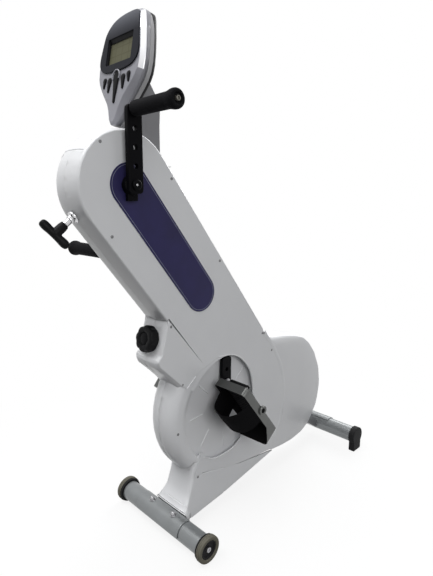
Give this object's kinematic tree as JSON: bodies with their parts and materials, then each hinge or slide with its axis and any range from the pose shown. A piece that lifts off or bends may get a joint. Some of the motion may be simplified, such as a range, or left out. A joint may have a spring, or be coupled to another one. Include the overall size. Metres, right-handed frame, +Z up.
{
  "type": "active passive trainer",
  "caption": "Leaning cabinet trainer that turns the legs and arms: foot cranks with tray pedals, hand cranks with foam grips, a console on a mast and transport wheels.",
  "frame": {"origin": "centre of the footprint on the floor", "axes": "+Z up, the user stands at -Y, +X is the side with the raised hand crank"},
  "size_m": [0.4026, 1.0093, 1.209],
  "materials": {
    "white_plastic": "satin moulded plastic",
    "violet_panel": "satin printed film",
    "frame_steel": "machined steel",
    "tube_paint": "satin silver grey paint",
    "chrome": "polished",
    "black_metal": "satin black",
    "black_rubber": "matt rubber and foam",
    "black_plastic": "fine grained plastic",
    "webbing": "woven webbing",
    "wheel_rubber": "matt",
    "silver_plastic": "metallic silver",
    "grey_plastic": "satin grey",
    "bezel": "dark gloss",
    "screen": "liquid crystal panel, off"
  },
  "bodies": {
    "frame": {"main_cover_right": "white_plastic", "main_cover_left": "white_plastic", "front_cover_right": "white_plastic", "front_cover_left": "white_plastic", "foot_cover": "white_plastic", "mast_collar": "white_plastic", "side_panel_right": "violet_panel", "side_panel_left": "violet_panel", "base_beam": "frame_steel", "spine_beam": "frame_steel", "front_stabilizer": "tube_paint", "rear_stabilizer": "tube_paint", "front_saddle": "frame_steel", "rear_saddle": "frame_steel", "saddle_nut_right": "chrome", "saddle_nut_left": "chrome", "wheel_bolt_right": "frame_steel", "wheel_bolt_left": "frame_steel", "rear_cap_right": "black_rubber", "rear_cap_left": "black_rubber", "link_belt": "black_rubber", "drive_belt": "black_rubber", "drive_motor": "black_metal", "console_front": "silver_plastic", "console_back": "grey_plastic", "console_bezel": "bezel", "display_panel": "screen", "console_mast": "grey_plastic", "lock_flange": "chrome"},
    "leg_cranks": {"leg_axle": "chrome", "leg_crank_right": "black_metal", "leg_crank_left": "black_metal", "leg_pulley": "frame_steel", "pedal_spindle_right": "frame_steel", "pedal_spindle_left": "frame_steel"},
    "pedal_right": {"pedal_tray_right": "silver_plastic", "pedal_pad_right": "black_rubber", "pedal_strap_right": "webbing"},
    "pedal_left": {"pedal_tray_left": "silver_plastic", "pedal_pad_left": "black_rubber", "pedal_strap_left": "webbing"},
    "arm_cranks": {"arm_axle": "chrome", "arm_crank_right": "black_metal", "arm_crank_left": "black_metal", "arm_pulley": "frame_steel", "grip_bolt_right": "frame_steel", "grip_bolt_left": "frame_steel"},
    "grip_right": {"arm_grip_right": "black_rubber"},
    "grip_left": {"arm_grip_left": "black_rubber"},
    "motor_rotor": {"motor_pulley": "frame_steel"},
    "wheel_right": {"transport_wheel_right": "wheel_rubber"},
    "wheel_left": {"transport_wheel_left": "wheel_rubber"},
    "lock_ring": {"lock_collar": "chrome"},
    "lock_handle": {"lock_grip": "black_plastic"},
    "knob": {"tension_knob": "black_plastic"},
    "button_c": {"button_centre": "black_plastic"},
    "button_ir": {"button_inner_right": "black_plastic"},
    "button_il": {"button_inner_left": "black_plastic"},
    "button_or": {"button_outer_right": "black_plastic"},
    "button_ol": {"button_outer_left": "black_plastic"}
  },
  "joints": [
    {"name": "leg_crank_turn", "type": "hinge", "parent": "frame", "child": "leg_cranks", "pos_m": [0, -0.0421, 0.2855], "axis": [1, 0, 0], "continuous": true},
    {"name": "pedal_right_turn", "type": "hinge", "parent": "leg_cranks", "child": "pedal_right", "pos_m": [0.05, -0.0421, 0.357], "axis": [1, 0, 0], "continuous": true},
    {"name": "pedal_left_turn", "type": "hinge", "parent": "leg_cranks", "child": "pedal_left", "pos_m": [-0.05, -0.0421, 0.214], "axis": [1, 0, 0], "continuous": true},
    {"name": "arm_crank_turn", "type": "hinge", "parent": "frame", "child": "arm_cranks", "pos_m": [0, -0.3385, 0.8627], "axis": [1, 0, 0], "continuous": true},
    {"name": "grip_right_turn", "type": "hinge", "parent": "arm_cranks", "child": "grip_right", "pos_m": [0.0703, -0.3385, 1.0057], "axis": [1, 0, 0], "continuous": true},
    {"name": "grip_left_turn", "type": "hinge", "parent": "arm_cranks", "child": "grip_left", "pos_m": [-0.0703, -0.3385, 0.7197], "axis": [1, 0, 0], "continuous": true},
    {"name": "motor_turn", "type": "hinge", "parent": "frame", "child": "motor_rotor", "pos_m": [0, 0.2097, 0.1699], "axis": [1, 0, 0], "continuous": true},
    {"name": "wheel_right_turn", "type": "hinge", "parent": "frame", "child": "wheel_right", "pos_m": [0.1493, -0.2303, 0.033], "axis": [1, 0, 0], "continuous": true},
    {"name": "wheel_left_turn", "type": "hinge", "parent": "frame", "child": "wheel_left", "pos_m": [-0.1493, -0.2303, 0.033], "axis": [1, 0, 0], "continuous": true},
    {"name": "lock_turn", "type": "hinge", "parent": "frame", "child": "lock_ring", "pos_m": [0, -0.44333, 0.79761], "axis": [0, -0.7842, -0.6205], "range_deg": [0, 90]},
    {"name": "lock_pull", "type": "slide", "parent": "lock_ring", "child": "lock_handle", "axis": [0, -0.7842, -0.6205], "range_m": [0, 0.01], "stiffness_N_per_m": 300, "springref_m": -0.008},
    {"name": "knob_turn", "type": "hinge", "parent": "frame", "child": "knob", "pos_m": [0, -0.2605, 0.5145], "axis": [0, -0.9673, 0.2538], "range_deg": [0, 300]},
    {"name": "button_c_press", "type": "slide", "parent": "frame", "child": "button_c", "axis": [0, 0.9816, -0.1908], "range_m": [0, 0.0015], "stiffness_N_per_m": 300, "springref_m": -0.001},
    {"name": "button_ir_press", "type": "slide", "parent": "frame", "child": "button_ir", "axis": [0, 0.9816, -0.1908], "range_m": [0, 0.0015], "stiffness_N_per_m": 300, "springref_m": -0.001},
    {"name": "button_il_press", "type": "slide", "parent": "frame", "child": "button_il", "axis": [0, 0.9816, -0.1908], "range_m": [0, 0.0015], "stiffness_N_per_m": 300, "springref_m": -0.001},
    {"name": "button_or_press", "type": "slide", "parent": "frame", "child": "button_or", "axis": [0, 0.9816, -0.1908], "range_m": [0, 0.0015], "stiffness_N_per_m": 300, "springref_m": -0.001},
    {"name": "button_ol_press", "type": "slide", "parent": "frame", "child": "button_ol", "axis": [0, 0.9816, -0.1908], "range_m": [0, 0.0015], "stiffness_N_per_m": 300, "springref_m": -0.001}
  ],
  "couplings": [
    {"joint": "arm_crank_turn", "follows": "leg_crank_turn", "ratio": 1},
    {"joint": "motor_turn", "follows": "leg_crank_turn", "ratio": 3}
  ]
}
